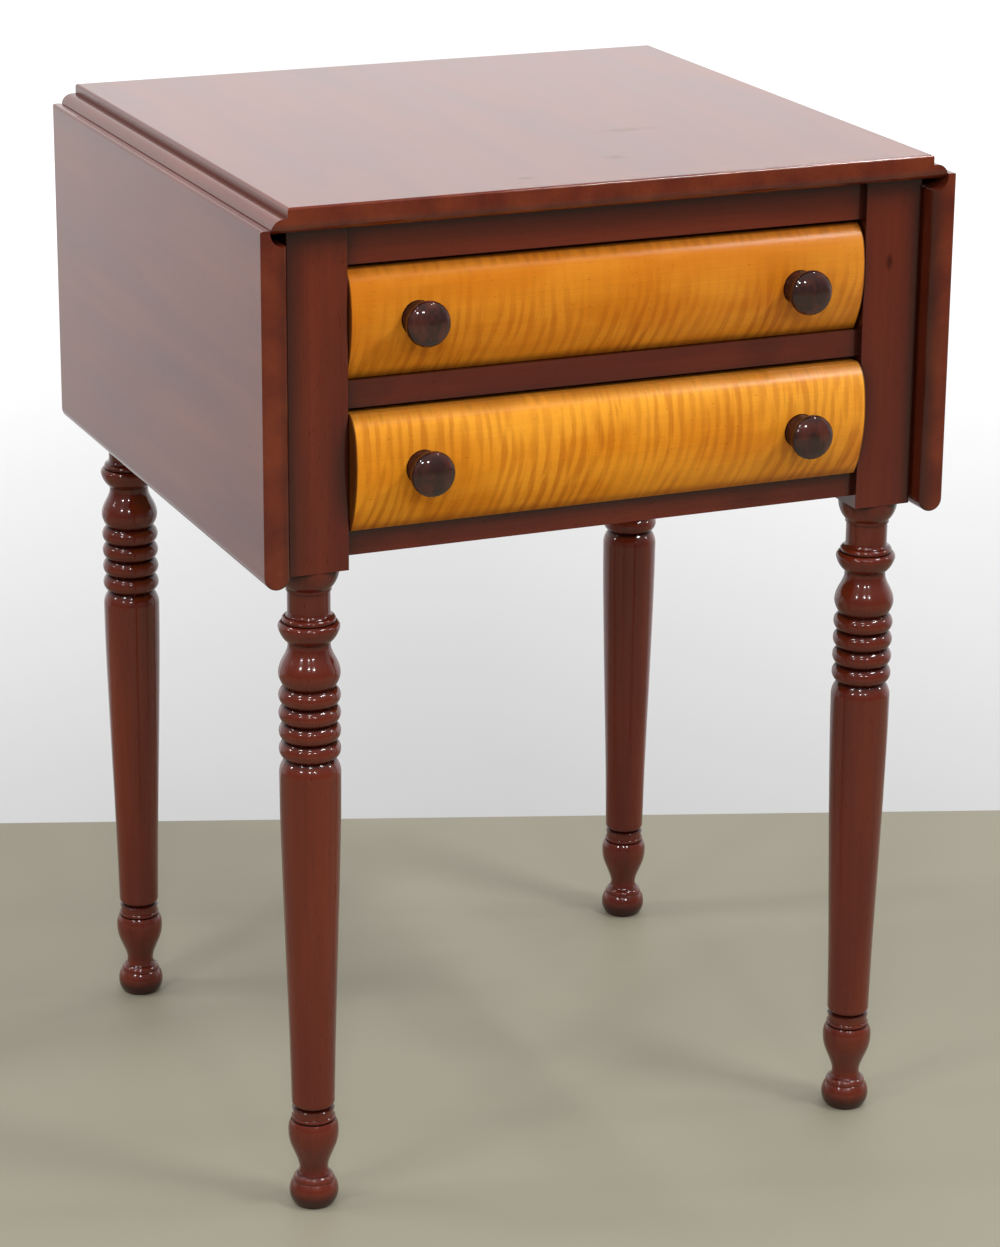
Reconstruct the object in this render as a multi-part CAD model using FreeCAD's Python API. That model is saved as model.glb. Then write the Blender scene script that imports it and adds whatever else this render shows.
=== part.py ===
import FreeCAD, Part
import math
import os

# Drop-leaf side table: a small cherry table on four turned legs, with two drawers that have bowed
# maple fronts, and a leaf on each side that hangs from a rule joint. Sizes are in millimetres.
# +X is to the right as seen from the front, +Y to the back and +Z up, and the floor is at zero.
# Pieces are worked out about the middle of the table, and saved about the middle of its whole box.

Vector = FreeCAD.Vector

# Top and leaves
table_height = 732.0
top_width = 476.0          # between the two square arrises of the top
top_depth = 466.0
board = 18.0               # thickness of the top and of each leaf
rule_fillet = 7.0          # square step below the arris of a rule joint
rule_flat = 2.5            # flat ledge between the step and the round
rule_gap = 0.6             # between the round of the top and the cove of the leaf
lip_gap = 0.5              # between the step of the top and the lip of a raised leaf
leaf_width = 245.0
leaf_to_post = 3.0         # between a hanging leaf and the posts
arris_round = 2.0          # softened edges of the top and the leaves
top_end_round = 8.0        # of the underside of the top, up to its front and back end
leaf_end_round = 3.0       # the same on a leaf

# Table hinges
hinge_plate = 2.0
hinge_width = 36.0
hinge_inset = 83.0         # from the end of the table to the middle of a hinge
short_plate = 26.0         # on the top
long_plate = 60.0          # on the leaf
knuckle_radius = 2.8
knuckle_gap = 0.4          # between two knuckles
knuckle_room = 0.5         # around a knuckle and around the swinging plate
hinge_pin_radius = 1.2
pin_clearance = 0.06
hinge_screw_radius = 1.5
hinge_screw_head = 3.1
hinge_screw_bite = 9.0     # depth in the wood
short_plate_screw_shares = ((0.62, -0.28), (0.62, 0.28))
long_plate_screw_shares = ((0.40, -0.28), (0.40, 0.28), (0.80, 0.0))

# Legs
post = 43.0                # square of a leg beside the case
post_skirt = 8.5           # square below the case
post_edge_round = 0.9
front_overhang = 11.0      # of the top over the posts, at the front and the back

# Turned outline of a leg, from the floor up. Each row is one stretch: one point ends a line, two
# make an arc and more make a smooth curve. A point is a share of the post and of the turned height.
foot_shares = (
    ((0.650, 0.0),),
    ((0.818, 0.0195), (0.705, 0.0380)),
    ((0.680, 0.0387),),
    ((0.655, 0.0440), (0.570, 0.0484)),
    ((0.540, 0.0488),),
    ((0.475, 0.0565), (0.535, 0.0715), (0.655, 0.0850), (0.780, 0.0997), (0.838, 0.1174),
     (0.816, 0.1290), (0.740, 0.1373)),
    ((0.690, 0.1381),),
    ((0.725, 0.1414), (0.696, 0.1447)),
    ((0.682, 0.1449),),
    ((0.676, 0.1507), (0.706, 0.1563)),
    ((0.605, 0.1595),),
    ((0.688, 0.1633), (0.716, 0.1699)),
)
taper_shares = (
    ((0.784, 0.3034), (0.875, 0.4341), (0.955, 0.5615), (0.992, 0.6413), (1.000, 0.6868)),
    ((0.952, 0.6989), (0.805, 0.7095)),
)
ring_count = 4
ring_root_share = 0.828
ring_crest_share = 1.0
ring_height_shares = (0.7105, 0.8194)
vase_shares = (
    ((0.965, 0.8313), (1.000, 0.8388), (0.975, 0.8477), (0.876, 0.8594), (0.744, 0.8707), (0.690, 0.8798)),
    ((0.690, 0.8868),),
    ((0.720, 0.8874),),
    ((0.915, 0.8984), (0.995, 0.9086)),
    ((0.977, 0.9136), (0.905, 0.9171)),
    ((0.855, 0.9176),),
    ((0.868, 0.9214), (0.780, 0.9262)),
    ((0.750, 0.9266),),
    ((0.705, 0.9298), (0.692, 0.9343)),
    ((0.692, 0.9636),),
    ((0.735, 0.9646),),
    ((0.735, 0.9687),),
    ((0.908, 0.9803), (0.988, 0.9949)),
    ((0.988, 1.0),),
)

# Case
panel = 16.0               # thickness of the side and back panels
set_back = 6.0             # of rails and panels behind the faces of the posts
rail_depth = 56.0
top_rail = 27.0            # heights of the rails and of the drawer openings, from the top down
upper_opening = 79.0
middle_rail = 19.0
lower_opening = 84.5
bottom_rail = 18.0
rail_tenon = 14.0          # thickness of a rail's tenons
rail_cheek = 10.0          # wood of a rail in front of its tenons
rail_shoulder = 4.0        # wood of a rail above and below its tenons
panel_tenon = 8.0
panel_shoulder = 34.0      # wood of a panel above and below its tenons
tenon_apart = 5.0          # between two tenons that meet in one post
guide_height = 24.0        # of the guide on a runner
runner_ledge = 17.0        # of a runner or kicker, inwards from the guides
stop_width = 30.0          # drawer stops, glued on the rails behind the fronts
stop_depth = 18.0
stop_height = 5.0
stop_inset = 98.0          # from the post to the middle of a stop

# Screws that hold the top, and nails
top_screw_radius = 2.0
top_screw_head = 4.0
top_screw_recess = 8.0
top_screw_bite = 11.0
top_screw_inset = 67.0     # from the post to a screw
screw_slot = 0.8
nail_radius = 1.0
nail_head = 2.2
nail_head_height = 0.8
nail_bite = 9.0
runner_nail_inset = 74.0   # from the post to a nail
bottom_nail_inset = 72.0   # from the end of a drawer's back to a nail
fastener_fit = 0.05        # between a screw or nail and its hole

# Fly brackets that hold a raised leaf
bracket_length = 180.0
bracket_height = 26.0
bracket_thick = 18.0
bracket_room = 0.5         # around a bracket in the notch of its panel
bracket_grip = 13.0        # radius of the finger grip under its free end
bracket_pin_radius = 3.0
bracket_pin_bite = 10.0    # depth of the pin in the top
bracket_pin_seat = 20.0    # depth of the pin in the panel

# Drawers
drawer_gap = 0.8           # beside a drawer
drawer_top_gap = 3.2
runner_gap = 0.3           # between a drawer and what it slides on
stop_gap = 0.3
upper_set_back = 10.5      # of the edges of the upper front, behind the faces of the posts
lower_set_back = 1.8
drawer_front = 20.0        # thickness of a front at its edges
bow = 13.0                 # how far a front swells
bow_shares = ((0.50, 0.15), (0.83, 0.32), (1.0, 0.53), (0.92, 0.75), (0.62, 0.91), (0.0, 1.0))
front_round = 1.0
drawer_side = 11.0
drawer_back = 11.0
drawer_bottom = 7.0
groove_depth = 5.0
bottom_rise = 8.0          # from the foot of a side to the bottom board
back_drop = 5.0            # of a drawer's back below its sides
drawer_back_room = 6.0
front_lap = 7.0            # wood of a front that hides the dovetails
tail_count = 3
tail_width_share = 0.6
tail_slope_share = 0.16

# Knobs
knob_inset_left = 48.3     # from the end of a front to the middle of a knob
knob_inset_right = 51.3
knob_rise_left = 2.6       # of a knob above the middle of its front, bored by eye
knob_rise_right = -1.3
knob_radius = 15.8
knob_length = 24.6         # from the crest of the front
knob_seat = 1.2            # depth of the flat spot under a knob
knob_dowel = 4.8
knob_fit = 0.1
knob_base_share = 0.77
knob_shares = (
    ((0.77, 0.12),),
    ((0.71, 0.26), (0.69, 0.38), (0.74, 0.49), (0.90, 0.575)),
    ((1.0, 0.705), (0.90, 0.855)),
    ((0.66, 0.93), (0.35, 0.98), (0.0, 1.0)),
)

overrun = 5.0              # how far a cut runs past the surface that it opens
tiny = 0.0001              # within which two places count as one

# Places that follow from the sizes. The pin of the hinges is the centre of the rule joint.
underside = table_height - board
half_depth = top_depth / 2
rule_radius = board - rule_fillet - hinge_plate
cove_radius = rule_radius + rule_gap
pin_x = top_width / 2 + rule_flat
pin_z = underside + hinge_plate
nose_x = pin_x + rule_radius
lip_z = pin_z + rule_flat - lip_gap
leaf_inner = pin_x - hinge_plate
leaf_outer = leaf_inner + board
leaf_bottom = lip_z - leaf_width
hinge_y = half_depth - hinge_inset
knuckle_reach = knuckle_radius + knuckle_room

post_outer = leaf_inner - leaf_to_post
post_inner = post_outer - post
post_front = half_depth - front_overhang
post_back = post_front - post
leg_x = post_outer - post / 2
leg_y = post_front - post / 2

panel_outer = post_outer - set_back
panel_inner = panel_outer - panel
back_outer = post_front - set_back
back_inner = back_outer - panel
rail_front = post_front - set_back
rail_back = rail_front - rail_depth
tenon_length = post - set_back - panel / 2 - panel_tenon / 2 - tenon_apart

upper_ceiling = underside - top_rail
upper_floor = upper_ceiling - upper_opening
lower_ceiling = upper_floor - middle_rail
lower_floor = lower_ceiling - lower_opening
case_bottom = lower_floor - bottom_rail
turned_height = case_bottom - post_skirt

drawer_half = post_inner - drawer_gap
knob_spots = (("left", knob_inset_left - drawer_half, knob_rise_left),
              ("right", drawer_half - knob_inset_right, knob_rise_right))
drawer_rear = back_inner - drawer_back_room
runner_inner = post_inner - runner_ledge
stop_x = post_inner - stop_inset
notch_bottom = underside - bracket_height - bracket_room
bracket_x = panel_inner + bracket_thick / 2
bracket_pin_y = (bracket_length - bracket_thick) / 2

# The whole box runs from the back edge of the top to the knobs, and the origin is under its middle.
knob_reach = post_front - min(upper_set_back, lower_set_back) + bow + knob_length
mid_y = (knob_reach - half_depth) / 2


def box(x, y, z):
    """Block between two places along each axis."""
    low = Vector(min(x), min(y), min(z))
    return Part.makeBox(max(x) - low.x, max(y) - low.y, max(z) - low.z, low)


def across(x, z):
    """Point in the section across the table, seen from the front."""
    return Vector(x, 0, z)


def along(y, z):
    """Point in the section along the table, seen from the side."""
    return Vector(0, y, z)


def overhead(y, x):
    """Point in the section along the table, seen from above."""
    return Vector(x, y, 0)


def outline(place, start, *moves):
    """Closed flat face. A move of one point is a line, of two an arc, of more a smooth curve."""
    edges = []
    here = place(*start)
    for move in moves + ((start,),):
        points = [here] + [place(*point) for point in move]
        if len(points) == 2:
            edges.append(Part.LineSegment(*points).toShape())
        elif len(points) == 3:
            edges.append(Part.Arc(*points).toShape())
        else:
            curve = Part.BSplineCurve()
            curve.interpolate(points)
            edges.append(curve.toShape())
        here = points[-1]
    return Part.Face(Part.Wire(edges))


def rod(radius, start, end):
    """Round bar between two points."""
    return Part.makeCylinder(radius, (end - start).Length, start, end - start)


def joined(first, *others):
    """One solid from pieces that meet."""
    return first.fuse(list(others)).removeSplitter()


def mirrored(shape):
    """The same piece on the left-hand side."""
    return shape.mirror(Vector(), Vector(1, 0, 0))


def both(shape):
    """A piece on the right and its twin on the left."""
    return [shape, mirrored(shape)]


def rounded(shape, radius, chosen):
    """Solid with the chosen edges rounded."""
    return shape.makeFillet(radius, [edge for edge in shape.Edges if chosen(edge.BoundBox)]).Solids[0]


def flat_at(low, high, place):
    """True where an edge runs square to an axis, at a place along it."""
    return math.isclose(low, place, abs_tol=tiny) and math.isclose(high, place, abs_tol=tiny)


def at_ends(low, high, place):
    """True where an edge does so at a place or as far on the other side."""
    return flat_at(low, high, place) or flat_at(low, high, -place)


def save(name, *solids):
    """Write one piece, or a group of alike pieces, about the middle of the whole box."""
    placed = [solid.translated(Vector(0, mid_y, 0)) for solid in solids]
    shape = placed[0] if len(placed) == 1 else Part.makeCompound(placed)
    shape.exportStep("parts/" + name + ".step")


def save_pair(name, shape):
    """Write a piece of the right-hand side, and its twin of the left."""
    save(name + "_right", shape)
    save(name + "_left", mirrored(shape))


# Fasteners stand on the origin with the head's face down, and point up

def screw(radius, head, length, fit=0):
    """Countersunk wood screw, or with a fit its hole."""
    cone = head - radius
    points = ((head + fit, 0), (radius + fit, cone), (radius + fit, length - radius), (0, length + fit))
    body = outline(across, (0, 0), *[(point,) for point in points])
    return body.revolve(Vector(), Vector(0, 0, 1), 360)


def slotted_screw(radius, head, length):
    """Screw with the slot for its driver."""
    slot = box((-head, head), (-screw_slot / 2, screw_slot / 2), (0, screw_slot))
    return screw(radius, head, length).cut(slot)


def nail(length, fit=0):
    """Cut nail with a small flat head, or with a fit its hole."""
    head = rod(nail_head + fit, Vector(), Vector(0, 0, nail_head_height + fit))
    return joined(head, rod(nail_radius + fit, Vector(), Vector(0, 0, length + fit)))


def pointing(shape, direction, place):
    """Fastener turned from up to a direction, with its head at a place."""
    turned = shape.copy()
    turned.Placement = FreeCAD.Placement(place, FreeCAD.Rotation(Vector(0, 0, 1), direction))
    return turned


# Table hinges on the right-hand side, one near the front and one near the back

def knuckle_spans(middle):
    """Ends of the three knuckles of a hinge along its pin: outer, centre, outer."""
    step = (hinge_width - 2 * knuckle_gap) / 3
    start = middle - hinge_width / 2
    starts = [start + i * (step + knuckle_gap) for i in range(3)]
    return [(low, low + step) for low in starts]


def knuckle(radius, span):
    """Round of a hinge about the pin, over a span along it."""
    return rod(radius, Vector(pin_x, span[0], pin_z), Vector(pin_x, span[1], pin_z))


def hinge_span(middle):
    """Ends of a hinge along its pin."""
    return (middle - hinge_width / 2, middle + hinge_width / 2)


def short_plate_screws(middle):
    """Places of the screws in the plate on the top."""
    return [Vector(pin_x - u * short_plate, middle + v * hinge_width, underside)
            for u, v in short_plate_screw_shares]


def long_plate_screws(middle):
    """Places of the screws in the plate on the leaf."""
    return [Vector(leaf_inner, middle + v * hinge_width, pin_z - u * long_plate)
            for u, v in long_plate_screw_shares]


def hinge_holes(places, direction):
    """Holes for the screws of one hinge plate."""
    length = hinge_plate + hinge_screw_bite
    hole = screw(hinge_screw_radius, hinge_screw_head, length, fastener_fit)
    return [pointing(hole, direction, place) for place in places]


def hinge_screws(places, direction):
    """Screws of one hinge plate."""
    one = slotted_screw(hinge_screw_radius, hinge_screw_head, hinge_plate + hinge_screw_bite)
    return [pointing(one, direction, place) for place in places]


def hinge_top_plate(middle):
    """Short plate let into the top, with the two outer knuckles."""
    outer_spans = knuckle_spans(middle)[::2]
    level = (underside, pin_z)
    plate = box((pin_x - short_plate, pin_x - knuckle_reach), hinge_span(middle), level)
    tongues = [box((pin_x - knuckle_reach, pin_x), span, level) for span in outer_spans]
    rounds = [knuckle(knuckle_radius, span) for span in outer_spans]
    shape = joined(plate, *tongues, *rounds)
    bore = knuckle(hinge_pin_radius + pin_clearance, hinge_span(middle))
    return shape.cut([bore] + hinge_holes(short_plate_screws(middle), Vector(0, 0, 1)))


def hinge_leaf_plate(middle):
    """Long plate let into the leaf, with the centre knuckle."""
    centre = knuckle_spans(middle)[1]
    level = (leaf_inner, pin_x)
    plate = box(level, hinge_span(middle), (pin_z - long_plate, pin_z - knuckle_reach))
    tongue = box(level, centre, (pin_z - knuckle_reach, pin_z))
    shape = joined(plate, tongue, knuckle(knuckle_radius, centre))
    bore = knuckle(hinge_pin_radius + pin_clearance, hinge_span(middle))
    return shape.cut([bore] + hinge_holes(long_plate_screws(middle), Vector(1, 0, 0)))


def hinge_recess_in_top(middle):
    """Room for the short plate, the knuckles and the swing of the long plate."""
    low, high = hinge_span(middle)
    plate = box((pin_x - short_plate, pin_x), (low, high), (underside - overrun, pin_z))
    wide = (low - knuckle_room, high + knuckle_room)
    swing_x = (leaf_inner - knuckle_room, nose_x + overrun)
    swing = box(swing_x, wide, (underside - overrun, pin_z + knuckle_room))
    return [plate, swing, knuckle(knuckle_reach, wide)]


def hinge_recess_in_leaf(middle):
    """Shallow pocket for the long plate."""
    return box((leaf_inner - overrun, pin_x), hinge_span(middle), (pin_z - long_plate, pin_z))


# Top and leaves

def on_round(radius, angle):
    """Point at an angle on a circle about the pin, in the section across the table."""
    turn = math.radians(angle)
    return (pin_x + radius * math.cos(turn), pin_z + radius * math.sin(turn))


def other_side(point):
    """The same point of the section on the left-hand side."""
    return (-point[0], point[1])


def board_ends(place, under, face, radius):
    """Section along a board whose underside is rounded up to each end."""
    middle = radius * (1 - math.cos(math.pi / 4))
    flat = half_depth - radius
    return outline(
        place, (-flat, under),
        ((middle - half_depth, under + middle), (-half_depth, under + radius)),
        ((-half_depth, face),),
        ((half_depth, face),),
        ((half_depth, under + radius),),
        ((half_depth - middle, under + middle), (flat, under)))


def top_board():
    """Top with the round half of a rule joint along each side."""
    ledge_z = table_height - rule_fillet
    arris = (top_width / 2, table_height)
    step = (top_width / 2, ledge_z)
    ledge = (pin_x, ledge_z)
    round_mid = on_round(rule_radius, 45)
    nose = (nose_x, pin_z)
    foot = (nose_x, underside)
    right = [(step,), (ledge,), (round_mid, nose), (foot,)]
    left = [(other_side(foot),), (other_side(nose),), (other_side(round_mid), other_side(ledge)),
            (other_side(step),), (other_side(arris),)]
    section = outline(across, arris, *right, *left)
    shape = section.translated(Vector(0, -half_depth, 0)).extrude(Vector(0, top_depth, 0))
    shape = rounded(shape, arris_round, lambda b: flat_at(b.ZMin, b.ZMax, table_height))
    ends = board_ends(along, underside, table_height, top_end_round)
    ends = ends.translated(Vector(-nose_x - overrun, 0, 0))
    return shape.common(ends.extrude(Vector(2 * (nose_x + overrun), 0, 0))).Solids[0]


def leaf_board():
    """Hanging leaf of the right-hand side: the cove half of the rule joint above, a half round below."""
    cove_angle = math.degrees(math.asin(hinge_plate / cove_radius))
    edge_z = leaf_bottom + board / 2
    section = outline(
        across, (leaf_outer, lip_z),
        ((pin_x + cove_radius, lip_z),),
        ((pin_x + cove_radius, pin_z),),
        (on_round(cove_radius, -45), on_round(cove_radius, -90 - cove_angle)),
        ((leaf_inner, edge_z),),
        ((leaf_inner + board / 2, leaf_bottom), (leaf_outer, edge_z)))
    shape = section.translated(Vector(0, -half_depth, 0)).extrude(Vector(0, top_depth, 0))

    def free_arris(b):
        end = at_ends(b.YMin, b.YMax, half_depth) and b.ZMin < leaf_bottom + board
        lip = flat_at(b.XMin, b.XMax, leaf_outer) and flat_at(b.ZMin, b.ZMax, lip_z)
        return end or lip

    shape = rounded(shape, arris_round, free_arris)
    ends = board_ends(overhead, leaf_inner, leaf_outer, leaf_end_round)
    ends = ends.translated(Vector(0, 0, leaf_bottom - overrun))
    return shape.common(ends.extrude(Vector(0, 0, leaf_width + 2 * overrun))).Solids[0]


def top_screw_places():
    """Places of the heads of the screws through a kicker into the top."""
    x = (runner_inner + panel_inner) / 2
    z = upper_ceiling + top_screw_recess
    return [Vector(x, y, z) for y in (top_screw_inset - post_back, post_back - top_screw_inset)]


def top_screw_length():
    """Length of a screw from its head in the kicker to its end in the top."""
    return underside - upper_ceiling - top_screw_recess + top_screw_bite


def top_screw_holes():
    """Holes through a kicker and into the top, with the recess for each head."""
    hole = screw(top_screw_radius, top_screw_head, top_screw_length(), fastener_fit)
    recess = rod(top_screw_head + fastener_fit, Vector(0, 0, -top_screw_recess - overrun), Vector())
    both_parts = joined(hole, recess)
    return [pointing(both_parts, Vector(0, 0, 1), place) for place in top_screw_places()]


def bracket_pin(fit=0):
    """Upright pin of the right-hand fly bracket, or with a fit its hole."""
    low = Vector(bracket_x, bracket_pin_y, notch_bottom - bracket_pin_seat - fit)
    high = Vector(bracket_x, bracket_pin_y, underside + bracket_pin_bite + fit)
    return rod(bracket_pin_radius + fit, low, high)


def make_top_and_leaves():
    """Top, leaves and the hinges between them."""
    up = Vector(0, 0, 1)
    out = Vector(1, 0, 0)
    top_cuts = top_screw_holes() + [bracket_pin(pin_clearance)]
    leaf_cuts = []
    top_plate_screws = []
    leaf_plate_screws = []
    for end, middle in (("front", -hinge_y), ("rear", hinge_y)):
        save_pair("hinge_top_plate_" + end, hinge_top_plate(middle))
        save_pair("hinge_leaf_plate_" + end, hinge_leaf_plate(middle))
        save_pair("hinge_pin_" + end, knuckle(hinge_pin_radius, hinge_span(middle)))
        top_cuts += hinge_recess_in_top(middle) + hinge_holes(short_plate_screws(middle), up)
        leaf_cuts += [hinge_recess_in_leaf(middle)] + hinge_holes(long_plate_screws(middle), out)
        top_plate_screws += hinge_screws(short_plate_screws(middle), up)
        leaf_plate_screws += hinge_screws(long_plate_screws(middle), out)
    save("table_top", top_board().cut([twin for cut in top_cuts for twin in both(cut)]))
    save_pair("leaf", leaf_board().cut(leaf_cuts))
    save("hinge_top_screws", *[twin for one in top_plate_screws for twin in both(one)])
    save("hinge_leaf_screws_right", *leaf_plate_screws)
    save("hinge_leaf_screws_left", *[mirrored(one) for one in leaf_plate_screws])
    one = slotted_screw(top_screw_radius, top_screw_head, top_screw_length())
    top_screws = [pointing(one, up, place) for place in top_screw_places()]
    save("top_screws", *[twin for one in top_screws for twin in both(one)])


# Legs and case. Each tenon is cut from its post as it is.

def turned_part():
    """Lower part of a leg, turned about the origin from the floor to the square."""

    def place(width, height):
        return Vector(width * post / 2, 0, height * turned_height)

    low, high = ring_height_shares
    step = (high - low) / ring_count
    rings = []
    for i in range(ring_count):
        base = low + i * step
        rings.append(((ring_crest_share, base + step / 2), (ring_root_share, base + step)))
    root = ((ring_root_share, low),)
    moves = foot_shares + taper_shares + (root,) + tuple(rings) + vase_shares + (((0, 1),),)
    return outline(place, (0, 0), *moves).revolve(Vector(), Vector(0, 0, 1), 360)


def plain_leg():
    """Whole leg about the origin, without its mortises."""
    half = post / 2
    square = box((-half, half), (-half, half), (turned_height, underside))
    square = rounded(square, post_edge_round, lambda b: b.ZLength > post)
    return joined(square, turned_part())


def rail_tenons(bottom, top):
    """Tenons at the two ends of a front rail."""
    face = rail_front - rail_cheek
    height = (bottom + rail_shoulder, top - rail_shoulder)
    tenon = box((post_inner, post_inner + tenon_length), (-face, -face + rail_tenon), height)
    return both(tenon)


def side_tenons():
    """Tenons at the front and the back of the right-hand side panel."""
    middle = (panel_inner + panel_outer) / 2
    width = (middle - panel_tenon / 2, middle + panel_tenon / 2)
    height = (case_bottom + panel_shoulder, underside - panel_shoulder)
    ends = ((-post_back - tenon_length, -post_back), (post_back, post_back + tenon_length))
    return [box(width, end, height) for end in ends]


def back_tenons():
    """Tenons at the two ends of the back panel."""
    middle = (back_inner + back_outer) / 2
    depth = (middle - panel_tenon / 2, middle + panel_tenon / 2)
    height = (case_bottom + panel_shoulder, underside - panel_shoulder)
    return both(box((post_inner, post_inner + tenon_length), depth, height))


def front_rails():
    """Name, bottom and top of each rail between the front legs."""
    return (("top_rail", upper_ceiling, underside),
            ("middle_rail", lower_ceiling, upper_floor),
            ("bottom_rail", case_bottom, lower_floor))


def make_legs():
    """Four legs that differ only in their mortises."""
    leg = plain_leg()
    front_cuts = side_tenons()
    for rail in front_rails():
        front_cuts += rail_tenons(*rail[1:])
    save_pair("leg_front", leg.translated(Vector(leg_x, -leg_y, 0)).cut(front_cuts))
    save_pair("leg_rear", leg.translated(Vector(leg_x, leg_y, 0)).cut(side_tenons() + back_tenons()))


def runner_nail_places(floor):
    """Places of the nails through the guide of a runner into the side panel."""
    z = floor + guide_height / 2
    return [Vector(post_inner, y, z) for y in (runner_nail_inset - post_back, post_back - runner_nail_inset)]


def runner_nails(floor, fit=0):
    """Nails of the right-hand runner below a drawer, or with a fit their holes."""
    one = nail(panel_inner - post_inner + nail_bite, fit)
    return [pointing(one, Vector(1, 0, 0), place) for place in runner_nail_places(floor)]


def runner(floor, bottom):
    """Right-hand runner below a drawer, with the guide that stands on it."""
    length = (-rail_back, post_back)
    bed = box((runner_inner, panel_inner), length, (bottom, floor))
    guide = box((post_inner, panel_inner), length, (floor, floor + guide_height))
    return joined(bed, guide).cut(runner_nails(floor, fastener_fit))


def notch():
    """Opening in the top edge of the right-hand panel for its fly bracket."""
    reach = bracket_length / 2 + bracket_room
    width = (panel_inner - overrun, panel_outer + overrun)
    return box(width, (-reach, reach), (notch_bottom, underside + overrun))


def make_case():
    """Rails, panels, runners, kickers and drawer stops."""
    for name, bottom, top in front_rails():
        rail = box((-post_inner, post_inner), (-rail_front, -rail_back), (bottom, top))
        save(name, joined(rail, *rail_tenons(bottom, top)))
    side = box((panel_inner, panel_outer), (-post_back, post_back), (case_bottom, underside))
    nail_holes = runner_nails(upper_floor, fastener_fit) + runner_nails(lower_floor, fastener_fit)
    side = joined(side, *side_tenons())
    save_pair("side_panel", side.cut([notch(), bracket_pin(pin_clearance)] + nail_holes))
    back = box((-post_inner, post_inner), (back_inner, back_outer), (case_bottom, underside))
    save("back_panel", joined(back, *back_tenons()))
    save_pair("drawer_runner_upper", runner(upper_floor, lower_ceiling))
    save_pair("drawer_runner_lower", runner(lower_floor, case_bottom))
    nails = runner_nails(upper_floor) + runner_nails(lower_floor)
    save("runner_nails", *[twin for one in nails for twin in both(one)])
    kicker = box((runner_inner, panel_inner), (-rail_back, post_back), (upper_ceiling, underside))
    save_pair("kicker", kicker.cut(top_screw_holes()))
    stops = []
    for floor, back in ((upper_floor, upper_set_back), (lower_floor, lower_set_back)):
        face = -post_front + back + drawer_front + stop_gap
        width = (stop_x - stop_width / 2, stop_x + stop_width / 2)
        stops += both(box(width, (face, face + stop_depth), (floor, floor + stop_height)))
    save("drawer_stops", *stops)


def fly_bracket():
    """Wooden wing folded into the right-hand panel, round at its pin and hollowed for the fingers."""
    half = bracket_thick / 2
    height = (notch_bottom + bracket_room, underside - bracket_room)
    tip = -bracket_length / 2
    bar = box((bracket_x - half, bracket_x + half), (tip, bracket_pin_y), height)
    end_low = Vector(bracket_x, bracket_pin_y, height[0])
    end = rod(half, end_low, Vector(bracket_x, bracket_pin_y, height[1]))
    grip_low = Vector(bracket_x - bracket_thick, tip, height[0])
    grip_high = Vector(bracket_x + bracket_thick, tip, height[0])
    return joined(bar, end).cut([rod(bracket_grip, grip_low, grip_high), bracket_pin(pin_clearance)])


def make_brackets():
    """Fly brackets and their pins."""
    save_pair("fly_bracket", fly_bracket())
    save_pair("bracket_pin", bracket_pin())


# Drawers

def tails(root, end, bottom, top):
    """Row of dovetails on the right-hand side, narrow at the root and wide at the end."""
    pitch = (top - bottom) / tail_count
    narrow = pitch * tail_width_share / 2
    wide = narrow + abs(end - root) * tail_slope_share
    row = []
    for i in range(tail_count):
        middle = bottom + pitch * (i + 1 / 2)
        tail = outline(along, (root, middle - narrow), ((end, middle - wide),),
                       ((end, middle + wide),), ((root, middle + narrow),))
        moved = tail.translated(Vector(drawer_half - drawer_side, 0, 0))
        row.append(moved.extrude(Vector(drawer_side, 0, 0)))
    return row


def knob(dowel_length):
    """Turned knob with its dowel. Its seat is at the origin and it faces the front."""

    def place(width, length):
        return Vector(width * knob_radius, -length * (knob_length + knob_seat), 0)

    dowel_share = knob_dowel / knob_radius
    end_share = -dowel_length / (knob_length + knob_seat)
    stem = (((dowel_share, end_share),), ((dowel_share, 0),), ((knob_base_share, 0),))
    return outline(place, (0, end_share), *stem, *knob_shares).revolve(Vector(), Vector(0, 1, 0), 360)


def front_board(edge_y, rear_y, bottom, top):
    """Drawer front that swells between its lower and upper edges."""
    curve = [(edge_y - u * bow, bottom + v * (top - bottom)) for u, v in bow_shares]
    section = outline(along, (rear_y, bottom), ((edge_y, bottom),), tuple(curve), ((rear_y, top),))
    shape = section.translated(Vector(-drawer_half, 0, 0)).extrude(Vector(2 * drawer_half, 0, 0))

    def end_edge(b):
        return at_ends(b.XMin, b.XMax, drawer_half) and b.YMin < edge_y - bow / 2

    return rounded(shape, front_round, end_edge)


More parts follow.
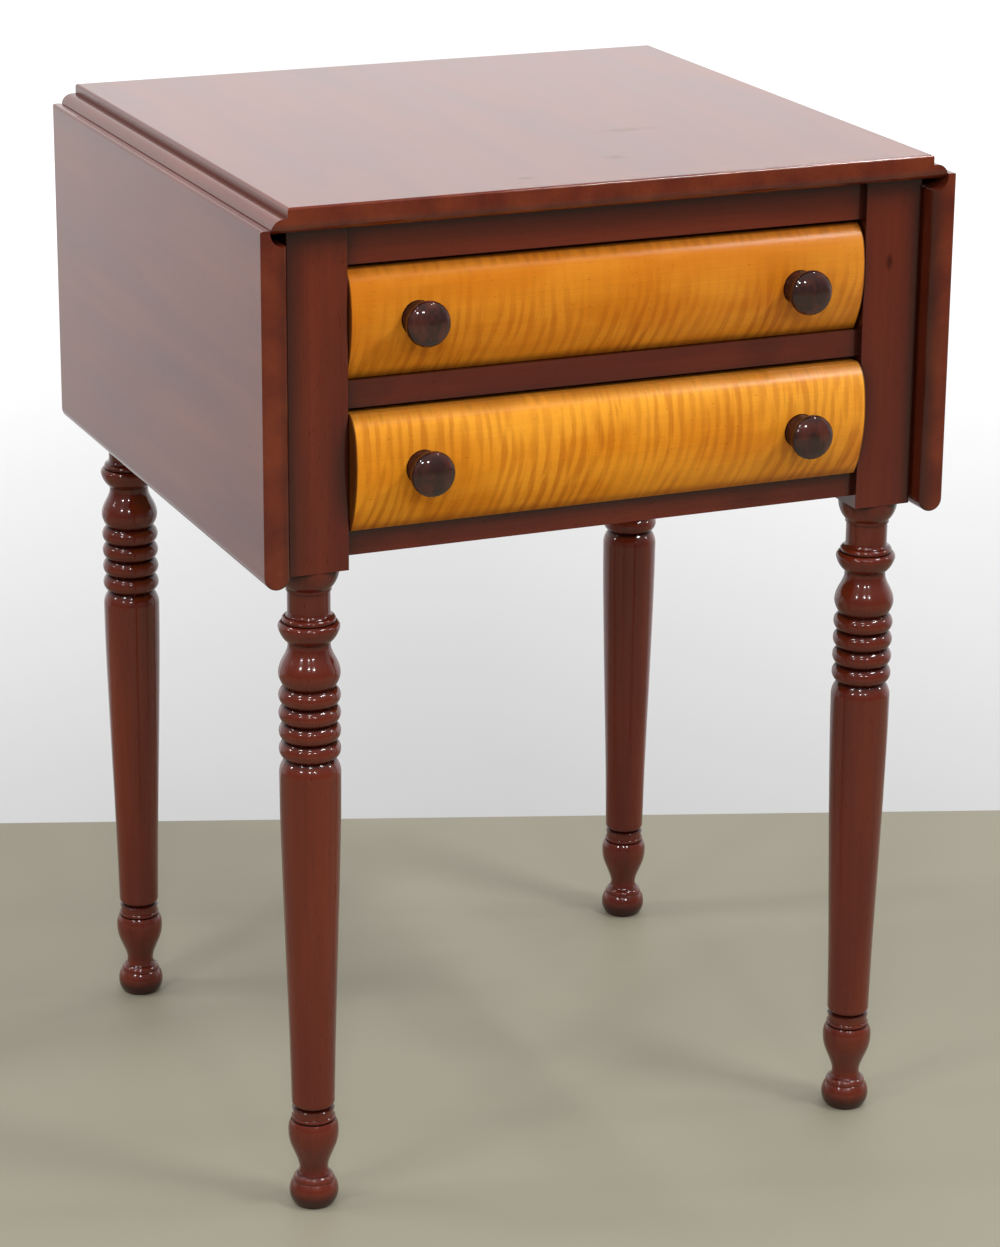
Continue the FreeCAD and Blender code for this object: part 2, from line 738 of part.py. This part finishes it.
def make_drawer(name, floor, ceiling, back):
    """All the pieces of one drawer in its opening."""
    bottom = floor + runner_gap
    top = ceiling - drawer_top_gap
    edge_y = -post_front + back
    rear_y = edge_y + drawer_front
    seat_y = edge_y - bow + knob_seat
    middle = bottom + (top - bottom) / 2
    inner = drawer_half - drawer_side
    board_z = (bottom + bottom_rise, bottom + bottom_rise + drawer_bottom)
    back_z = (board_z[1], top - back_drop)
    back_y = (drawer_rear - drawer_back, drawer_rear)

    front_tails = tails(rear_y, rear_y - drawer_front + front_lap, bottom, top)
    back_tails = tails(back_y[0], back_y[1], back_z[0], back_z[1])
    board_x = inner + groove_depth
    floor_board = box((-board_x, board_x), (rear_y - groove_depth, drawer_rear), board_z)

    front_cuts = [twin for tail in front_tails for twin in both(tail)] + [floor_board]
    for hand, x, rise in knob_spots:
        seat = Vector(x, seat_y, middle + rise)
        outside = seat - Vector(0, overrun, 0)
        front_cuts.append(rod(knob_dowel + knob_fit, outside, Vector(x, rear_y + overrun, middle + rise)))
        front_cuts.append(rod(knob_base_share * knob_radius + knob_fit, outside, seat))
        save(name + "_knob_" + hand, knob(rear_y - seat_y).translated(seat))
    save(name + "_front", front_board(edge_y, rear_y, bottom, top).cut(front_cuts))

    side = box((inner, drawer_half), (rear_y, drawer_rear), (bottom, top))
    side = side.cut(box((inner, drawer_half), back_y, back_z))
    save_pair(name + "_side", joined(side, *front_tails, *back_tails).cut(floor_board))

    nail_x = drawer_half - bottom_nail_inset
    nail_places = [Vector(x, sum(back_y) / 2, board_z[0]) for x in (-nail_x, 0, nail_x)]
    up = Vector(0, 0, 1)
    nail_length = drawer_bottom + nail_bite
    holes = [pointing(nail(nail_length, fastener_fit), up, place) for place in nail_places]
    rear = box((-drawer_half, drawer_half), back_y, back_z)
    save(name + "_back", rear.cut([twin for tail in back_tails for twin in both(tail)] + holes))
    save(name + "_bottom", floor_board.cut(holes))
    save(name + "_nails", *[pointing(nail(nail_length), up, place) for place in nail_places])


os.makedirs("parts", exist_ok=True)
make_top_and_leaves()
make_legs()
make_case()
make_brackets()
make_drawer("upper_drawer", upper_floor, upper_ceiling, upper_set_back)
make_drawer("lower_drawer", lower_floor, lower_ceiling, lower_set_back)
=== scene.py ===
import math

import bpy
from mathutils import Matrix, Vector


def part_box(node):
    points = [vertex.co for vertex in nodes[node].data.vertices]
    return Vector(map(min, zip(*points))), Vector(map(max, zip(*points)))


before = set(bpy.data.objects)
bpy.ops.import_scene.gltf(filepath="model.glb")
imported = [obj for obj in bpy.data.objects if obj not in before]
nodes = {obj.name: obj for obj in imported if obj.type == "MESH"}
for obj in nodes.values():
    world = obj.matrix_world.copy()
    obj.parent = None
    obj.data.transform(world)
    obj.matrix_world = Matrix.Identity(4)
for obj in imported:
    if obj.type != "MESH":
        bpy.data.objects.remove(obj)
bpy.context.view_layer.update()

# Looks of the drop-leaf side table: varnished cherry, bowed curly maple drawer fronts with dark
# turned knobs, poplar inside the case and old iron hinges. Sizes are in metres and angles in degrees
# unless a name says otherwise, in the frame of the solids: +X to the right, +Y to the back, +Z up.

MM = 0.001

# Sockets of a colour mix, which share their names with others of the node
MIX_A = 6
MIX_B = 7
MIX_OUT = 2

# Values between which most of a noise lies
NOISE_LOW = 0.3
NOISE_HIGH = 0.7

# Surfaces of the wood
varnish_ior = 1.5
relief_mm = 0.2            # depth of fibres and pits
groove_mm = 9              # reach of the old varnish and painted shade in a piece's own grooves
corner_mm = 20             # reach of the painted shade, with some old varnish, in corners between pieces
neck_mm = 12               # reach of the painted shade round a knob's neck
fleck = "#220906"
# Colour of the painted shade in corners and under overhangs
painted_shade = "#220a07"
stain = "#5c3418"

# Marks on the wood, as places and radii in millimetres and colours: three faint stains on the top, and
# a small knot in the right-hand front post. The grain frays the edge of a mark between two shares of
# its radii.
top_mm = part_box("table_top")[1][2] / MM
marks_mm = {
    "table_top": (((75, -63, top_mm), (34, 9, 30), stain),
                  ((29, -148, top_mm), (12, 8, 30), stain),
                  ((-57, -190, top_mm), (9, 5, 30), stain)),
    "leg_front_right": (((212, -210, 656), (5, 30, 9), fleck),),
}
mark_outer = 1.4
mark_inner = 0.7
far_mm = 10000             # radius of painted shade that runs along a whole piece

# Figure of the maple: bars across the grain, which lean below a share of a front's height
bar_pitch_mm = 9
bar_wander_mm = 24
lean_from = 0.6
lean_power = 1.7
lean_share = 0.3           # of a front's height
dark_end_mm = (1.6, 0.6)   # where the dark ends of a front begin, and are full

# Each drawer front: what is left of the bars near its upper edge, and a tint that grows from a share of
# its height to the upper edge: painted shade on the upper front, painted light on the lower one
front_bars_and_painted_light = {
    "upper": {"bars_above": 0.2, "tint": "#a8561a", "tint_from": -0.6, "most_tint": 0.4},
    "lower": {"bars_above": 0.9, "tint": "#ffc04a", "tint_from": 0.45, "most_tint": 0.3},
}

# Camera of the photograph, which is 1000 by 1247 pixels
photo_height_px = 1247
focal_px = 3818.0
sensor_mm = 36.0
camera_place = Vector((-1.0625, -2.5019, 1.2646))
camera_turn = -23.161
camera_drop = 18.584
camera_roll = 0.443

# Room: a grey floor in front, and a white sheet that starts behind the table and glows with painted shade
sheet_turn = -19.94
sheet_behind = 0.494
sheet_fade = 2.4           # over which the sheet gets bright
floor_reach = 9.0

# Lamps, with powers in watts. Those of the ring stand at an angle from the camera's side, at a distance
# from the table and at a height.
lamp_size = (0.3, 0.2)
lamp_target = (0.0, 0.0, 0.5)
ring_lamps = (
    (-90, 2.3, 3.0, 11), (-44, 2.3, 3.0, 15), (0, 2.3, 3.0, 15),
    (-80, 4.5, 2.6, 22), (-34, 4.5, 2.6, 22), (0, 4.5, 2.8, 22), (20, 4.5, 2.6, 22), (95, 4.5, 2.6, 22),
)
tube_size = (0.8, 0.12)
tube_place = (1.5, -1.76, 3.0)
tube_power = 48
overhead_size = (0.12, 0.12)
overhead_height = 3.1
overhead_power = 4
overhead_spots = ((1.5, -0.9), (1.5, -0.4), (1.5, 0.1), (1.5, 0.6), (1.5, 1.1), (-1.45, 0.2), (-1.45, 0.7))
high_target = (0.0, 0.0, 0.6)


def colour(code):
    """Linear colour of an sRGB hex value."""
    channels = [int(code[i:i + 2], 16) / 255 for i in (1, 3, 5)]
    linear = [c / 12.92 if c <= 0.04045 else ((c + 0.055) / 1.055) ** 2.4 for c in channels]
    return (*linear, 1.0)


def add(tree, kind, inputs=None, **settings):
    """Add a node, set it up and feed its inputs with values or with the outputs of other nodes."""
    node = tree.nodes.new("ShaderNode" + kind)
    for name, value in settings.items():
        setattr(node, name, value)
    for name, value in (inputs or {}).items():
        if isinstance(value, bpy.types.NodeSocket):
            tree.links.new(value, node.inputs[name])
        else:
            node.inputs[name].default_value = value
    return node


def new_material(name):
    """Empty material with its node tree and its surface shader."""
    material = bpy.data.materials.new(name)
    material.use_nodes = True
    return material, material.node_tree, material.node_tree.nodes["Principled BSDF"]


# Patterns and colours that the materials share

def streaks(tree, place, axis, along_mm, across_mm, detail):
    """Noise drawn out along the grain, from its real sizes, about 0.5 on the whole."""
    scale = [1 / (across_mm * MM)] * 3
    scale["XYZ".index(axis)] = 1 / (along_mm * MM)
    scaled = add(tree, "Mapping", {"Vector": place, "Scale": scale}).outputs[0]
    return add(tree, "TexNoise", {"Vector": scaled, "Scale": 1.0, "Detail": detail}).outputs[0]


def spot(tree, place, centre_mm, radii_mm):
    """Distance from a centre, as a share of the radii of a small mark."""
    centre = [-c / r for c, r in zip(centre_mm, radii_mm)]
    scale = [1 / (r * MM) for r in radii_mm]
    scaled = add(tree, "Mapping", {"Vector": place, "Location": centre, "Scale": scale}).outputs[0]
    return add(tree, "VectorMath", {0: scaled}, operation="LENGTH").outputs["Value"]


def toned(tree, pattern, low, high, first, second, most=1.0):
    """Colour that turns from the first to the second while a pattern runs from low to high."""
    limits = {"Value": pattern, "From Min": low, "From Max": high, "To Max": most}
    amount = add(tree, "MapRange", limits, interpolation_type="SMOOTHSTEP").outputs[0]
    inputs = {0: amount, MIX_A: first, MIX_B: second}
    return add(tree, "Mix", inputs, data_type="RGBA").outputs[MIX_OUT]


def shaded(tree, base, pattern, dark, bright):
    """Colour made darker and brighter by a noise."""
    limits = {"Value": pattern, "From Min": NOISE_LOW, "From Max": NOISE_HIGH,
              "To Min": dark, "To Max": bright}
    amount = add(tree, "MapRange", limits).outputs[0]
    inputs = {0: 1.0, MIX_A: base, MIX_B: amount}
    return add(tree, "Mix", inputs, data_type="RGBA", blend_type="MULTIPLY").outputs[MIX_OUT]


def set_surface(tree, shader, base, gloss, smooth, rough, relief, strength):
    """Colour, roughness that a noise moves between two values, and a fine relief of the surface."""
    limits = {"Value": gloss, "From Min": NOISE_LOW, "From Max": NOISE_HIGH,
              "To Min": smooth, "To Max": rough}
    roughness = add(tree, "MapRange", limits).outputs[0]
    depth = {"Height": relief, "Strength": strength, "Distance": relief_mm * MM}
    normal = add(tree, "Bump", depth).outputs[0]
    for socket, value in (("Base Color", base), ("Roughness", roughness), ("Normal", normal)):
        tree.links.new(value, shader.inputs[socket])


# Materials

def varnished_cherry(name, axis, shift_mm, patches, crust_and_shade, marks, painted_shade_spots):
    """Black cherry, planed or turned, stained red and varnished. It gives deep red-brown with soft
    bands, fine fibres and short dark flecks along the grain, dull dark varnish with painted shade in the
    grooves, painted shade in the corners, and a gloss that turns faces grey where they mirror a bright
    room."""
    material, tree, shader = new_material(name)
    place = add(tree, "TexCoord").outputs["Object"]
    shift = [s * MM for s in shift_mm]
    board = add(tree, "Mapping", {"Vector": place, "Location": shift}).outputs[0]
    bands = streaks(tree, board, axis, 420, 26, 2)
    mottle = streaks(tree, board, axis, 240, 36, 2)
    lines = streaks(tree, board, axis, 160, 5, 2)
    fibres = streaks(tree, board, axis, 60, 1.4, 3)
    flecks = streaks(tree, board, axis, 6, 0.8, 1)
    deep = toned(tree, bands, NOISE_LOW, NOISE_HIGH, colour("#55180c"), colour("#62200f"))
    warm = toned(tree, mottle, 0.3, 0.8, deep, colour(patches), 0.45)
    soft = shaded(tree, warm, lines, 0.94, 1.05)
    lined = shaded(tree, soft, fibres, 0.93, 1.05)
    dirt = add(tree, "MapRange", {"Value": flecks, "From Min": 0.68, "From Max": 0.78}).outputs[0]
    base = toned(tree, dirt, 0.0, 1.0, lined, colour(fleck), 0.6)

    # Marks, which also dull the varnish, and painted shade in corners and under overhangs
    for centre_mm, radii_mm, code in marks:
        away = spot(tree, place, centre_mm, radii_mm)
        frayed = add(tree, "Math", {0: away, 1: lines}, operation="ADD").outputs[0]
        base = toned(tree, frayed, mark_outer, mark_inner, base, colour(code), 0.6)
        limits = {"Value": frayed, "From Min": mark_outer, "From Max": mark_inner}
        mark = add(tree, "MapRange", limits).outputs[0]
        dirt = add(tree, "Math", {0: dirt, 1: mark}, operation="MAXIMUM").outputs[0]
    # Painted shade, darkest at the centre of each spot
    for centre_mm, radii_mm, most in painted_shade_spots:
        away = spot(tree, place, centre_mm, radii_mm)
        base = toned(tree, away, 1.0, 0.0, base, colour(painted_shade), most)

    # Old varnish and painted shade in the grooves of a piece, and painted shade in the corners between
    # pieces
    near = {"Distance": groove_mm * MM}
    groove = add(tree, "AmbientOcclusion", near, samples=8, only_local=True).outputs["AO"]
    darker_in_hollows = toned(tree, groove, 1.0, 0.5, base, colour(crust_and_shade), 0.85)
    corner = add(tree, "AmbientOcclusion", {"Distance": corner_mm * MM}, samples=8).outputs["AO"]
    crusted_and_shaded = toned(tree, corner, 1.0, 0.6, darker_in_hollows, colour(crust_and_shade), 0.85)
    set_surface(tree, shader, crusted_and_shaded, mottle, 0.11, 0.16, fibres, 0.05)

    # Gloss where the varnish is clean and hands have rubbed it
    clean = add(tree, "MapRange", {"Value": dirt, "To Min": 0.5, "To Max": 0.25}).outputs[0]
    open_to_hands = {"Value": groove, "From Min": 0.5, "From Max": 0.95, "To Min": 0.15}
    rubbed = add(tree, "MapRange", open_to_hands).outputs[0]
    gloss = add(tree, "Math", {0: clean, 1: rubbed}, operation="MULTIPLY").outputs[0]
    tree.links.new(gloss, shader.inputs["Specular IOR Level"])
    shader.inputs["IOR"].default_value = varnish_ior
    return material


def curly_maple(name, low, high, bars_above, tint, tint_from, most_tint):
    """Curly maple, sawn flat, bowed and varnished, now amber with the years. It gives soft brown bars
    across the grain that lean to the left below, fine growth lines along it, specks, brown edges of wear,
    painted shade towards the upper edge of the upper front and painted light towards that of the lower
    one, and a sheen that is left only to the right."""
    material, tree, shader = new_material(name)
    place = add(tree, "TexCoord").outputs["Object"]
    xyz = add(tree, "SeparateXYZ", {0: place}).outputs
    size = high[2] - low[2]
    whole = {"Value": xyz["Z"], "From Min": low[2], "From Max": high[2]}
    share = add(tree, "MapRange", whole).outputs[0]

    # Bars: a wave across the grain, bent below the middle, wandering, and broken up by a noise
    under = add(tree, "Math", {0: lean_from, 1: share}, operation="SUBTRACT", use_clamp=True).outputs[0]
    bend = add(tree, "Math", {0: under, 1: lean_power}, operation="POWER").outputs[0]
    leaning = {0: bend, 1: lean_share * size, 2: xyz["X"]}
    lean = add(tree, "Math", leaning, operation="MULTIPLY_ADD").outputs[0]
    figure = add(tree, "CombineXYZ", {"X": lean, "Z": xyz["Z"]}).outputs[0]
    wander = streaks(tree, figure, "Z", 90, 40, 1)
    wandering = {0: wander, 1: bar_wander_mm * MM, 2: lean}
    way = add(tree, "Math", wandering, operation="MULTIPLY_ADD").outputs[0]
    pitch = 2 * math.pi / (bar_pitch_mm * MM)
    turns = add(tree, "Math", {0: way, 1: pitch}, operation="MULTIPLY").outputs[0]
    waves = add(tree, "Math", {0: turns}, operation="SINE").outputs[0]
    broken = streaks(tree, figure, "Z", 40, 4.5, 3)
    bars = add(tree, "Math", {0: waves, 1: 0.12, 2: broken}, operation="MULTIPLY_ADD").outputs[0]

    # How strong the bars are, from patch to patch and towards the upper edge
    patches = streaks(tree, figure, "Z", 70, 50, 2)
    patchy = {"Value": patches, "From Min": 0.3, "From Max": 0.65, "To Min": 0.12, "To Max": 0.55}
    fading = {"Value": share, "From Min": 0.4, "From Max": 0.8, "To Min": 1.0, "To Max": bars_above}
    strength, fade = [add(tree, "MapRange", limits).outputs[0] for limits in (patchy, fading)]
    most = add(tree, "Math", {0: strength, 1: fade}, operation="MULTIPLY").outputs[0]

    clouds = streaks(tree, place, "X", 70, 30, 2)
    growth = streaks(tree, place, "X", 160, 1.1, 3)
    specks = streaks(tree, place, "X", 2.5, 0.9, 1)
    plain = toned(tree, clouds, 0.35, 0.65, colour("#db841a"), colour("#ea9727"))
    # Painted shade towards the upper edge of the upper front, painted light towards that of the lower one
    age_or_light_tone = toned(tree, share, tint_from, 1.0, plain, colour(tint), most_tint)
    barred = toned(tree, bars, 0.60, 0.36, age_or_light_tone, colour("#a64c10"), most)
    lined = shaded(tree, barred, growth, 0.96, 1.03)
    spotted = toned(tree, specks, 0.70, 0.80, lined, colour("#6a3510"), 0.6)

    # Ragged brown edges of wear above and below, and darker ends
    ragged = add(tree, "Math", {0: bars, 1: 0.08, 2: share}, operation="MULTIPLY_ADD").outputs[0]
    above = toned(tree, ragged, 0.94, 1.06, spotted, colour("#6a3412"), 0.75)
    below = toned(tree, share, 0.1, 0.0, above, colour("#7a3a14"), 0.6)
    aside = add(tree, "Math", {0: xyz["X"]}, operation="ABSOLUTE").outputs[0]
    begin, full = [high[0] - inset * MM for inset in dark_end_mm]
    ends = toned(tree, aside, begin, full, below, colour("#3c140c"), 0.9)
    set_surface(tree, shader, ends, clouds, 0.3, 0.38, growth, 0.06)

    to_the_right = {"Value": xyz["X"], "From Max": high[0], "To Min": 0.06, "To Max": 0.3}
    sheen = add(tree, "MapRange", to_the_right).outputs[0]
    tree.links.new(sheen, shader.inputs["Specular IOR Level"])
    shader.inputs["IOR"].default_value = varnish_ior
    return material


def dark_walnut():
    """Walnut, turned and polished nearly black. It gives plum brown with redder patches where hands
    have rubbed it, a neck darkened by painted shade, and sharp highlights."""
    material, tree, shader = new_material("dark_walnut")
    coords = add(tree, "TexCoord").outputs
    place = coords["Object"]
    patches = streaks(tree, place, "Z", 16, 11, 2)
    fibres = streaks(tree, place, "Z", 14, 0.9, 2)
    base = toned(tree, patches, 0.42, 0.72, colour("#2f1714"), colour("#50231a"))
    lined = shaded(tree, base, fibres, 0.75, 1.2)
    # Painted shade: the neck and other hollows darkened
    neck = add(tree, "AmbientOcclusion", {"Distance": neck_mm * MM}, samples=8).outputs["AO"]
    darker_in_hollows = toned(tree, neck, 0.85, 0.4, lined, colour("#0e0605"), 0.9)
    set_surface(tree, shader, darker_in_hollows, patches, 0.04, 0.08, fibres, 0.03)

    # Gloss where a knob is open to hands and faces the front
    away = add(tree, "SeparateXYZ", {0: coords["Normal"]}).outputs["Y"]
    rubbed = {"Value": neck, "From Min": 0.65, "From Max": 0.97, "To Max": 0.6}
    forward = {"Value": away, "From Min": 0.25, "From Max": -0.05, "To Max": 0.6}
    open_face, front_face = [add(tree, "MapRange", limits).outputs[0] for limits in (rubbed, forward)]
    gloss = add(tree, "Math", {0: open_face, 1: front_face}, operation="MINIMUM").outputs[0]
    tree.links.new(gloss, shader.inputs["Specular IOR Level"])
    shader.inputs["IOR"].default_value = varnish_ior
    return material


def planed_poplar(name, axis):
    """Tulip poplar, planed by hand and left bare. It gives pale tan with greenish and brown streaks
    along the grain, darker where the years have stained it, without gloss."""
    material, tree, shader = new_material(name)
    place = add(tree, "TexCoord").outputs["Object"]
    bands = streaks(tree, place, axis, 300, 22, 2)
    fibres = streaks(tree, place, axis, 50, 1.2, 3)
    stains = streaks(tree, place, axis, 120, 60, 3)
    base = toned(tree, bands, 0.35, 0.65, colour("#b69662"), colour("#98854f"))
    lined = shaded(tree, base, fibres, 0.8, 1.12)
    age_or_light_tone = toned(tree, stains, 0.5, 0.75, lined, colour("#6d4c2a"), 0.55)
    set_surface(tree, shader, age_or_light_tone, fibres, 0.55, 0.7, fibres, 0.4)
    return material


def aged_iron():
    """Wrought iron, dull and dark from long years. It gives grey-brown metal with rusty patches and pits.
    """
    material, tree, shader = new_material("aged_iron")
    place = add(tree, "TexCoord").outputs["Object"]
    rust = streaks(tree, place, "X", 6, 6, 4)
    pits = streaks(tree, place, "X", 1.2, 1.2, 2)
    base = toned(tree, rust, 0.48, 0.66, colour("#4a4744"), colour("#5a3320"))
    set_surface(tree, shader, base, rust, 0.38, 0.75, pits, 0.4)
    bare = {"Value": rust, "From Min": 0.45, "From Max": 0.65, "To Min": 0.85, "To Max": 0.15}
    tree.links.new(add(tree, "MapRange", bare).outputs[0], shader.inputs["Metallic"])
    return material


# Which piece has which finish

def painted_shade_of(name):
    """Painted shade in the corners between the top, the leaves, the front posts and the drawers, and under
    the top and the drawer fronts, as places and radii in millimetres and the share that it covers."""
    low, high = [[c / MM for c in corner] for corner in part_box(name)]
    painted_shade_under_top = ((0, 0, high[2]), (far_mm, far_mm, 30), 0.5)
    rail_radii = (far_mm, far_mm, high[2] - low[2])
    places = {
        "leg_front_left": (((low[0], low[1], 0), (11, 11, far_mm), 0.45), painted_shade_under_top),
        "leg_front_right": (((high[0], low[1], 0), (11, 11, far_mm), 0.75), painted_shade_under_top),
        "leaf_left": (((high[0], low[1], 0), (9, 13, far_mm), 0.45),),
        "leaf_right": (((low[0], low[1], 0), (13, 13, far_mm), 0.75),),
        "middle_rail": (((0, 0, high[2]), rail_radii, 0.2),),
        "bottom_rail": (((0, 0, high[2]), rail_radii, 0.55),),
    }
    return places.get(name, ())


def grain_of(name):
    """Axis that the grain of a cherry piece runs along."""
    if name.startswith("leg"):
        return "Z"
    return "X" if "rail" in name or "back" in name else "Y"


def cherry_of(name):
    """Cherry for one piece, with a stretch of wood of its own that follows from its name."""
    shift_mm = [97 * len(name), 61 * sum(map(ord, name)) % 1000, 43 * ord(name[-1])]
    wide_board = name.startswith(("table_top", "leaf"))
    # Colours of the patches, and of the old varnish and painted shade in hollows
    patches, crust_and_shade = ("#8a3e1a", "#5c2416") if wide_board else ("#7c3014", "#280d09")
    return varnished_cherry("varnished_cherry_" + name, grain_of(name), shift_mm, patches, crust_and_shade,
                            marks_mm.get(name, ()), painted_shade_of(name))


def dress():
    """Give every piece its finish."""
    walnut = dark_walnut()
    iron = aged_iron()
    poplar = {axis: planed_poplar("planed_poplar_" + axis.lower(), axis) for axis in "XY"}
    for name, node in nodes.items():
        slot = node.data.materials[0].name.split(".")[0]
        if slot == "cherry":
            look = cherry_of(name)
        elif slot == "curly_maple":
            front_bars_and_tint = front_bars_and_painted_light[name.split("_")[0]]
            look = curly_maple("curly_maple_" + name, *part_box(name), **front_bars_and_tint)
        elif slot == "poplar":
            look = poplar["X" if name.endswith(("back", "bottom")) else "Y"]
        else:
            look = walnut if slot == "knob_wood" else iron
        node.data.materials[0] = look


# Room, light and camera

def add_sheet(name, offset, look):
    """Flat part of the floor, with its middle in front of the table or behind it."""
    bpy.ops.object.select_all(action="DESELECT")
    bpy.ops.mesh.primitive_plane_add(size=1)
    sheet = bpy.context.object
    sheet.name = name
    sheet.scale = (2 * floor_reach, floor_reach, 1.0)
    bpy.ops.object.transform_apply(location=False, rotation=False, scale=True)
    turn = Matrix.Rotation(math.radians(sheet_turn), 4, "Z")
    sheet.matrix_world = turn @ Matrix.Translation((0.0, offset, 0.0))
    bpy.ops.object.transform_apply(location=True, rotation=True, scale=True)
    sheet.data.materials.append(look)


def matt(name, code):
    """Plain matt paint or cloth of the room. It gives an even colour with hardly any sheen."""
    material, _, shader = new_material(name)
    shader.inputs["Base Color"].default_value = colour(code)
    shader.inputs["Roughness"].default_value = 0.6
    return material


def lit_sheet():
    """White sheet that glows by itself, with painted shade: dimmer near the table, and in a painted shadow
    of the table behind its middle.
    """
    material = matt("lit_sheet", "#505050")
    tree = material.node_tree
    place = add(tree, "TexCoord").outputs["Object"]
    turn = (0.0, 0.0, -math.radians(sheet_turn))
    turned = add(tree, "Mapping", {"Vector": place, "Rotation": turn}).outputs[0]
    across, behind, _ = add(tree, "SeparateXYZ", {0: turned}).outputs
    aside = add(tree, "Math", {0: across}, operation="ABSOLUTE").outputs[0]
    reach = {"Value": behind, "From Min": sheet_behind, "From Max": sheet_behind + sheet_fade,
             "To Min": 0.5, "To Max": 0.97}
    # Painted shadow of the table, across the middle of the sheet
    shade = {"Value": aside, "From Min": 0.05, "From Max": 0.55, "To Min": 0.9, "To Max": 1.08}
    away, outside_painted_shadow = [add(tree, "MapRange", limits).outputs[0] for limits in (reach, shade)]
    glow = add(tree, "Math", {0: away, 1: outside_painted_shadow}, operation="MULTIPLY").outputs[0]
    shader = tree.nodes["Principled BSDF"]
    shader.inputs["Emission Color"].default_value = colour("#ffffff")
    tree.links.new(glow, shader.inputs["Emission Strength"])
    return material


def add_room():
    """Grey floor below the table and a white sheet behind it."""
    add_sheet("floor", sheet_behind - floor_reach / 2, matt("grey_floor", "#8f8a78"))
    add_sheet("sheet", sheet_behind + floor_reach / 2, lit_sheet())


def add_light(name, size, place, target, power):
    """Soft rectangular light that faces a point."""
    light = bpy.data.lights.new(name, "AREA")
    light.shape = "RECTANGLE"
    light.size, light.size_y = size
    light.energy = power
    lamp = bpy.data.objects.new(name, light)
    lamp.location = place
    lamp.rotation_euler = (Vector(target) - Vector(place)).to_track_quat("-Z", "Y").to_euler()
    bpy.context.scene.collection.objects.link(lamp)


def add_lights():
    """Lamps in a ring above the table, some near and some further off, a strong tube to the right, and
    small lamps overhead on both sides, which give turned pieces their fine highlights."""
    for angle, away, height, power in ring_lamps:
        turn = math.radians(angle + camera_turn)
        place = (away * math.sin(turn), -away * math.cos(turn), height)
        add_light("lamp", lamp_size, place, lamp_target, power)
    add_light("tube", tube_size, tube_place, high_target, tube_power)
    for spot_x, spot_y in overhead_spots:
        place = (spot_x, spot_y, overhead_height)
        add_light("overhead", overhead_size, place, high_target, overhead_power)


def add_glow():
    """Light of the room itself, which is white behind the table and dim in front of it."""
    world = bpy.data.worlds.new("room")
    world.use_nodes = True
    tree = world.node_tree
    way = add(tree, "TexCoord").outputs["Generated"]
    height = add(tree, "SeparateXYZ", {0: way}).outputs["Z"]
    turn = math.radians(camera_turn)
    back = (-math.sin(turn), math.cos(turn), 0.0)
    behind = add(tree, "VectorMath", {0: way, 1: back}, operation="DOT_PRODUCT").outputs["Value"]
    side = add(tree, "MapRange", {"Value": behind, "From Min": -0.1, "From Max": 0.55}).outputs[0]
    wall = {"Value": height, "From Min": -0.35, "From Max": 0.2, "To Min": 0.95, "To Max": 1.36}
    fall = {"Value": height, "From Min": 0.3, "From Max": 0.8, "To Min": 1.0, "To Max": 0.35}
    rise = {"Value": height, "From Min": 0.1, "From Max": 0.7, "To Min": 0.22, "To Max": 0.5}
    low, high, near = [add(tree, "MapRange", limits).outputs[0] for limits in (wall, fall, rise)]
    far = add(tree, "Math", {0: low, 1: high}, operation="MULTIPLY").outputs[0]
    glow = add(tree, "Mix", {"Factor": side, "A": near, "B": far}).outputs["Result"]
    tree.links.new(glow, tree.nodes["Background"].inputs["Strength"])
    tree.nodes["Background"].inputs["Color"].default_value = colour("#ffffff")
    bpy.context.scene.world = world


def add_camera():
    """Camera where the photograph was taken from."""
    data = bpy.data.cameras.new("camera")
    data.sensor_width = sensor_mm
    data.lens = sensor_mm * focal_px / photo_height_px
    camera = bpy.data.objects.new("camera", data)
    turn = Matrix.Rotation(math.radians(camera_turn), 4, "Z")
    tilt = Matrix.Rotation(math.radians(90 - camera_drop), 4, "X")
    roll = Matrix.Rotation(math.radians(camera_roll), 4, "Z")
    camera.matrix_world = Matrix.Translation(camera_place) @ turn @ tilt @ roll
    bpy.context.scene.collection.objects.link(camera)
    bpy.context.scene.camera = camera


dress()
add_room()
add_lights()
add_glow()
add_camera()
bpy.context.scene.view_settings.view_transform = "Standard"
